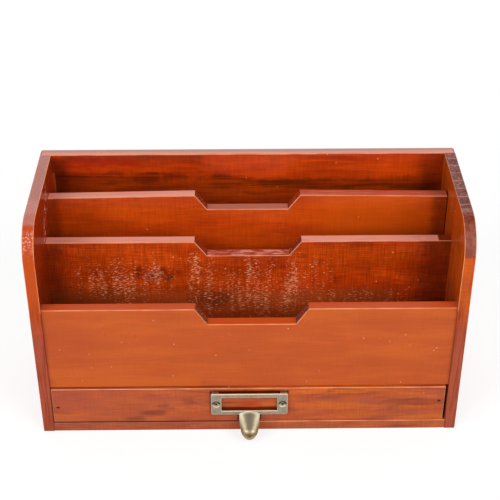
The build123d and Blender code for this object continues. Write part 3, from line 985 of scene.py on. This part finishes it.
def mark_wear_and_highlight(mesh):
    """Store how far each vertex stands out of its surroundings: 1 on rims, 0 in hollows."""
    surroundings = bmesh.new()
    surroundings.from_mesh(mesh)
    rounds = 12
    for _ in range(rounds):
        bmesh.ops.smooth_vert(
            surroundings, verts=surroundings.verts, factor=0.5,
            use_axis_x=True, use_axis_y=True, use_axis_z=True,
        )
    full_scale = 0.14 * MM
    wear_and_highlight = mesh.attributes.new("wear_and_highlight", "FLOAT", "POINT")
    surroundings.verts.ensure_lookup_table()
    for vertex, smoothed in zip(mesh.vertices, surroundings.verts):
        standing = (vertex.co - smoothed.co).dot(vertex.normal) / full_scale
        wear_and_highlight.data[vertex.index].value = min(max(0.5 + 0.5 * standing, 0.0), 1.0)
    surroundings.free()


class SORTER_OT_cast_pull(Operator):
    """Cast the card frame and its finger pull in one piece of brass"""

    bl_idname = "sorter.cast_pull"
    bl_label = "Cast the pull"

    def execute(self, context):
        skin = bmesh.new()
        skin.from_mesh(frame["nodes"]["card_pull"].data)
        bmesh.ops.remove_doubles(skin, verts=skin.verts, dist=0.001 * MM)
        mesh = bpy.data.meshes.new("cast_card_pull")
        skin.to_mesh(mesh)
        skin.free()
        rough = new_object("rough_casting", mesh)
        even = rough.modifiers.new("Even mesh", "REMESH")
        even.mode = "VOXEL"
        even.voxel_size = context.scene.sorter_pull.mesh_size
        even.use_smooth_shade = True
        tumbled = rough.modifiers.new("Tumbled edges", "SMOOTH")
        tumbled.factor = 0.5
        tumbled.iterations = 5
        pull = settled(rough, "cast_card_pull")
        pull.data.materials.clear()
        pull.data.materials.append(CastBrass().cast())
        mark_wear_and_highlight(pull.data)
        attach(pull, "drawer")
        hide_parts("card_pull")
        return {"FINISHED"}


def nodes_tree(name, sizes):
    """Geometry tree with named inputs for sizes in metres, and its group input node."""
    tree = bpy.data.node_groups.new(name, "GeometryNodeTree")
    tree.is_modifier = True
    tree.interface.new_socket("Geometry", in_out="INPUT", socket_type="NodeSocketGeometry")
    for size in sizes:
        tree.interface.new_socket(size, in_out="INPUT", socket_type="NodeSocketFloat")
    tree.interface.new_socket("Geometry", in_out="OUTPUT", socket_type="NodeSocketGeometry")
    return tree, add(tree, "NodeGroupInput")


def close_tree(tree, instances, material):
    """Realise a tree's instances, give them their material and put them out."""
    realised = add(tree, "GeometryNodeRealizeInstances", {"Geometry": instances})
    painted = add(tree, "GeometryNodeSetMaterial", {"Geometry": realised, "Material": material})
    add(tree, "NodeGroupOutput", {"Geometry": painted})


def grow(name, tree, sizes, seats):
    """Plain object with what a tree puts at its seats: each a place, aim, side and length."""
    mesh = bpy.data.meshes.new(name)
    mesh.from_pydata([seat["place"] for seat in seats], [], [])
    for key, kind, field in (("aim", "FLOAT_VECTOR", "vector"), ("side", "FLOAT_VECTOR", "vector"),
                             ("length", "FLOAT", "value")):
        attribute = mesh.attributes.new(key, kind, "POINT")
        for item, seat in zip(attribute.data, seats):
            setattr(item, field, seat[key])
    host = new_object(name, mesh)
    grower = host.modifiers.new(tree.name, "NODES")
    grower.node_group = tree
    for socket in tree.interface.items_tree:
        if socket.in_out == "INPUT" and socket.name in sizes:
            grower[socket.identifier] = sizes[socket.name]
    return settled(host, name)


def seat_turn(tree):
    """Rotation by the aim and the side that are stored at each seat."""
    aim, side = (
        add(tree, "GeometryNodeInputNamedAttribute", {"Name": name}, data_type="FLOAT_VECTOR")
        for name in ("aim", "side")
    )
    return add(
        tree, "FunctionNodeAxesToRotation", {"Primary Axis": aim, "Secondary Axis": side},
        primary_axis="Z", secondary_axis="X",
    )


def screw_tree(material):
    """Countersunk screws with a cross recess, one at each point, heads facing along its aim."""
    names = ("Head radius", "Head depth", "Shank radius", "Length", "Recess length", "Recess width",
             "Recess depth")
    tree, sizes = nodes_tree("cross_recess_screws", names)
    size = sizes.outputs

    def turned(radius_below, radius_above, depth, lift):
        """Closed cone between two radii, its lower end lifted to a height."""
        cone = add(
            tree, "GeometryNodeMeshCone",
            {"Vertices": 32, "Radius Top": radius_above, "Radius Bottom": radius_below,
             "Depth": depth},
        )
        offset = add(tree, "CombineXYZ", {2: lift})
        return add(
            tree, "GeometryNodeTransform", {"Geometry": cone.outputs["Mesh"], "Translation": offset}
        )

    def negative(length):
        """Length below the seat."""
        return add(tree, "Math", {0: length, 1: -1.0}, operation="MULTIPLY")

    radius, depth = size["Shank radius"], size["Head depth"]
    head = turned(radius, size["Head radius"], depth, negative(depth))
    point_length = add(tree, "Math", {0: radius, 1: 1.8}, operation="MULTIPLY")
    straight = add(tree, "Math", {0: size["Length"], 1: point_length}, operation="SUBTRACT")
    overlap = add(tree, "Math", {0: depth, 1: 0.5}, operation="MULTIPLY")
    shank_length = add(tree, "Math", {0: straight, 1: overlap}, operation="SUBTRACT")
    shank = turned(radius, radius, shank_length, negative(straight))
    blunt = add(tree, "Math", {0: radius, 1: 0.1}, operation="MULTIPLY")
    point = turned(blunt, radius, point_length, negative(size["Length"]))
    screw = add(tree, "GeometryNodeMeshBoolean", operation="UNION", solver="EXACT")
    for part in (head, shank, point):
        tree.links.new(part.outputs[0], screw.inputs["Mesh 2"])
    double_depth = add(tree, "Math", {0: size["Recess depth"], 1: 2.0}, operation="MULTIPLY")
    cut = add(
        tree, "GeometryNodeMeshBoolean", {"Mesh 1": screw}, operation="DIFFERENCE", solver="EXACT"
    )
    for across, along in (("Recess length", "Recess width"), ("Recess width", "Recess length")):
        arm_size = add(tree, "CombineXYZ", {0: size[across], 1: size[along], 2: double_depth})
        arm = add(tree, "GeometryNodeMeshCube", {"Size": arm_size})
        tree.links.new(arm.outputs["Mesh"], cut.inputs["Mesh 2"])
    screws = add(
        tree, "GeometryNodeInstanceOnPoints",
        {"Points": size["Geometry"], "Instance": cut, "Rotation": seat_turn(tree)},
    )
    close_tree(tree, screws, material)
    return tree


def brad_tree(material):
    """Brads of flattened wire, one at each point: a shank of the point's length and a wide head."""
    names = ("Wire width", "Wire thickness", "Head width", "Head height")
    tree, sizes = nodes_tree("flat_wire_brads", names)
    size = sizes.outputs
    turn = seat_turn(tree)
    length = add(tree, "GeometryNodeInputNamedAttribute", {"Name": "length"}, data_type="FLOAT")

    def hung(width, height, stretch):
        """Block whose top lies at its point, stretched downwards."""
        block_size = add(tree, "CombineXYZ", {0: width, 1: size["Wire thickness"], 2: height})
        block = add(tree, "GeometryNodeMeshCube", {"Size": block_size})
        half = add(tree, "Math", {0: height, 1: -0.5}, operation="MULTIPLY")
        offset = add(tree, "CombineXYZ", {2: half})
        lowered = add(
            tree, "GeometryNodeTransform",
            {"Geometry": block.outputs["Mesh"], "Translation": offset},
        )
        scale = add(tree, "CombineXYZ", {0: 1.0, 1: 1.0, 2: stretch})
        return add(
            tree, "GeometryNodeInstanceOnPoints",
            {"Points": size["Geometry"], "Instance": lowered, "Rotation": turn, "Scale": scale},
        )

    stretch = add(tree, "Math", {0: length, 1: size["Head height"]}, operation="DIVIDE")
    heads = hung(size["Head width"], size["Head height"], 1.0)
    shanks = hung(size["Wire width"], size["Head height"], stretch)
    brads = add(tree, "GeometryNodeJoinGeometry")
    for part in (heads, shanks):
        tree.links.new(part.outputs[0], brads.inputs[0])
    close_tree(tree, brads, material)
    return tree


def brad_seat(part):
    """Where a brad's head lies, which way it faces, its wide side and its length."""
    low, high = part_box(part)
    extent = high - low
    long_axis = max(range(3), key=lambda axis: extent[axis])
    others = [axis for axis in range(3) if axis != long_axis]

    def spread(end):
        """Widest the brad is at one of its ends."""
        there = [place for place in part if abs(place[long_axis] - end) < 0.1 * MM]
        return max(max(p[axis] for p in there) - min(p[axis] for p in there) for axis in others)

    outward = 1.0 if spread(high[long_axis]) > spread(low[long_axis]) else -1.0
    place = (low + high) / 2
    place[long_axis] = high[long_axis] if outward > 0 else low[long_axis]
    aim, side = Vector((0, 0, 0)), Vector((0, 0, 0))
    aim[long_axis] = outward
    side[max(others, key=lambda axis: extent[axis])] = 1.0
    return {"place": place, "aim": aim, "side": side, "length": extent[long_axis]}


class SORTER_OT_drive_screws(Operator):
    """Drive the two cross-recess screws of the card pull"""

    bl_idname = "sorter.drive_screws"
    bl_label = "Drive the screws"

    def execute(self, context):
        pull = context.scene.sorter_pull
        seats = []
        for index, part in enumerate(loose_parts("pull_screws")):
            low, high = part_box(part)
            middle = (low + high) / 2
            twist = math.radians(20 + 47 * index)
            seats.append({
                "place": Vector((middle.x, low.y, middle.z)), "aim": Vector((0, -1, 0)),
                "side": Vector((math.cos(twist), 0, math.sin(twist))), "length": high.y - low.y,
            })
        sizes = {
            "Head radius": (high.x - low.x) / 2, "Head depth": pull.head_depth,
            "Shank radius": pull.shank_radius, "Length": high.y - low.y,
            "Recess length": pull.recess_length, "Recess width": pull.recess_width,
            "Recess depth": pull.recess_depth,
        }
        brass = bpy.data.materials["antique_cast_brass"]
        screws = grow("cross_recess_screws", screw_tree(brass), sizes, seats)
        mark_wear_and_highlight(screws.data)
        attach(screws, "drawer")
        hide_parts("pull_screws")
        return {"FINISHED"}


class SORTER_OT_drive_brads(Operator):
    """Drive the brads of the case and of the drawer"""

    bl_idname = "sorter.drive_brads"
    bl_label = "Drive the brads"

    def execute(self, context):
        pull = context.scene.sorter_pull
        sizes = {
            "Wire width": pull.brad_wire_width, "Wire thickness": pull.brad_wire_thickness,
            "Head width": pull.brad_head_width, "Head height": pull.brad_head_height,
        }
        tree = brad_tree(drawn_steel())
        for body, node_names in frame["record"]["behaviour"]["bodies"].items():
            rows = [name for name in node_names if name.endswith("_brads")]
            seats = [brad_seat(part) for row in rows for part in loose_parts(row)]
            brads = grow(f"{body}_brads", tree, sizes, seats)
            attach(brads, body)
            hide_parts(*rows)
        return {"FINISHED"}


# Stage

# Each softbox's place, width and height (m), and the setting of its brightness
SOFTBOXES = {
    "left_softbox": ((-1.0, -1.1, 1.0), 0.9, 1.0, "side_level"),
    "right_softbox": ((1.0, -1.1, 1.0), 0.9, 1.0, "side_level"),
    "front_softbox": ((0, -1.9, 0.9), 1.6, 0.8, "front_level"),
    "back_softbox": ((0, 1.5, 0.68), 3.0, 0.95, "back_level"),
}
FLOOR_SIZE = 6.0


def lamp(name, place, target, width, height, level):
    """Flat lamp that faces a target; its level is the brightness of its face."""
    data = bpy.data.lights.new(name, "AREA")
    data.shape = "RECTANGLE"
    data.size = width
    data.size_y = height
    data.energy = level * math.pi * width * height
    thing = new_object(name, data)
    aim = (Vector(target) - Vector(place)).to_track_quat("-Z", "Y")
    thing.matrix_world = Matrix.Translation(place) @ aim.to_matrix().to_4x4()
    thing.visible_camera = False
    return thing


def floor_paint():
    """Matt white paint; seen straight it is lifted, so it reads as white with a soft shadow."""
    material, tree = new_material("matt_white_floor")
    path = add(tree, "LightPath")
    paint = add(tree, "BsdfDiffuse", {"Color": hex_colour("#C8C8C6")})
    thin = add(tree, "BsdfDiffuse", {"Color": hex_colour("#9C9C9C")})
    lift = add(tree, "Emission", {"Color": (1, 1, 1, 1), "Strength": 0.72})
    seen = add(tree, "AddShader", {0: thin, 1: lift})
    either = add(tree, "MixShader", {0: path.outputs["Is Camera Ray"], 1: paint, 2: seen})
    add(tree, "OutputMaterial", {"Surface": either})
    return material


def room_light(level, ceiling_level, ceiling_angle):
    """White room with a darker ceiling: dim as a light, white where it is seen or mirrored."""
    world = bpy.data.worlds.new("white_room")
    world.use_nodes = True
    tree = world.node_tree
    tree.nodes.clear()
    path = add(tree, "LightPath")
    seen = path.outputs["Is Camera Ray"]
    for ray in ("Is Glossy Ray", "Is Transmission Ray"):
        seen = add(tree, "Math", {0: seen, 1: path.outputs[ray]}, operation="MAXIMUM")
    direction = add(tree, "TexCoord")
    up = add(tree, "SeparateXYZ", {0: direction.outputs["Generated"]})
    brink, soft = math.sin(ceiling_angle), 0.02
    mirrored = add(
        tree, "MapRange",
        {"Value": up.outputs["Z"], "From Min": brink - soft, "From Max": brink + soft,
         "To Min": 1.0, "To Max": ceiling_level},
    )
    strength = add(tree, "MapRange", {"Value": seen, "To Min": level, "To Max": mirrored})
    glow = add(tree, "Background", {"Color": (1, 1, 1, 1), "Strength": strength})
    add(tree, "OutputWorld", {"Surface": glow})
    return world


class SORTER_OT_set_stage(Operator):
    """Set the camera, the lamps, the floor and the room"""

    bl_idname = "sorter.set_stage"
    bl_label = "Set the stage"

    def execute(self, context):
        stage = context.scene.sorter_stage
        scene = context.scene
        camera_data = bpy.data.cameras.new("photograph_camera")
        camera_data.lens = stage.lens
        camera_data.sensor_width = 36.0
        camera = new_object("photograph_camera", camera_data)
        turn = Matrix.Rotation(-stage.camera_yaw, 4, "Z") @ Matrix.Rotation(
            math.pi / 2 - stage.camera_pitch, 4, "X"
        )
        camera.matrix_world = Matrix.Translation(stage.camera_place) @ turn
        scene.camera = camera
        low, high = cad_box
        middle = (low + high) / 2
        for name, (place, width, height, level) in SOFTBOXES.items():
            lamp(name, place, middle, width, height, getattr(stage, level))
        bpy.ops.mesh.primitive_grid_add(x_subdivisions=2, y_subdivisions=2, size=FLOOR_SIZE)
        floor = context.active_object
        floor.name = "floor"
        floor.data.materials.append(floor_paint())
        scene.world = room_light(stage.room_level, stage.ceiling_level, stage.ceiling_angle)
        scene.view_settings.view_transform = "Standard"
        return {"FINISHED"}


# Add-on


class SORTER_PT_looks(Panel):
    """Steps of the sorter's looks"""

    bl_idname = "SORTER_PT_looks"
    bl_label = "Envelope sorter"
    bl_space_type = "VIEW_3D"
    bl_region_type = "UI"
    bl_category = "Sorter"

    def draw(self, context):
        for step in STEPS:
            self.layout.operator(step.bl_idname)


SETTINGS = {
    "sorter_stain": SorterStainSettings,
    "sorter_pull": SorterPullSettings,
    "sorter_stage": SorterStageSettings,
}
STEPS = (
    SORTER_OT_stain_boards,
    SORTER_OT_cast_pull,
    SORTER_OT_drive_screws,
    SORTER_OT_drive_brads,
    SORTER_OT_set_stage,
)


def register():
    """Add the settings, the operators and the panel."""
    for name, group in SETTINGS.items():
        bpy.utils.register_class(group)
        setattr(bpy.types.Scene, name, PointerProperty(type=group))
    for step in STEPS:
        bpy.utils.register_class(step)
    bpy.utils.register_class(SORTER_PT_looks)


def unregister():
    """Remove the panel, the operators and the settings."""
    bpy.utils.unregister_class(SORTER_PT_looks)
    for step in reversed(STEPS):
        bpy.utils.unregister_class(step)
    for name, group in SETTINGS.items():
        delattr(bpy.types.Scene, name)
        bpy.utils.unregister_class(group)


def main():
    """Run every step."""
    register()
    bpy.ops.sorter.stain_boards()
    bpy.ops.sorter.cast_pull()
    bpy.ops.sorter.drive_screws()
    bpy.ops.sorter.drive_brads()
    bpy.ops.sorter.set_stage()


if __name__ == "__main__":
    main()
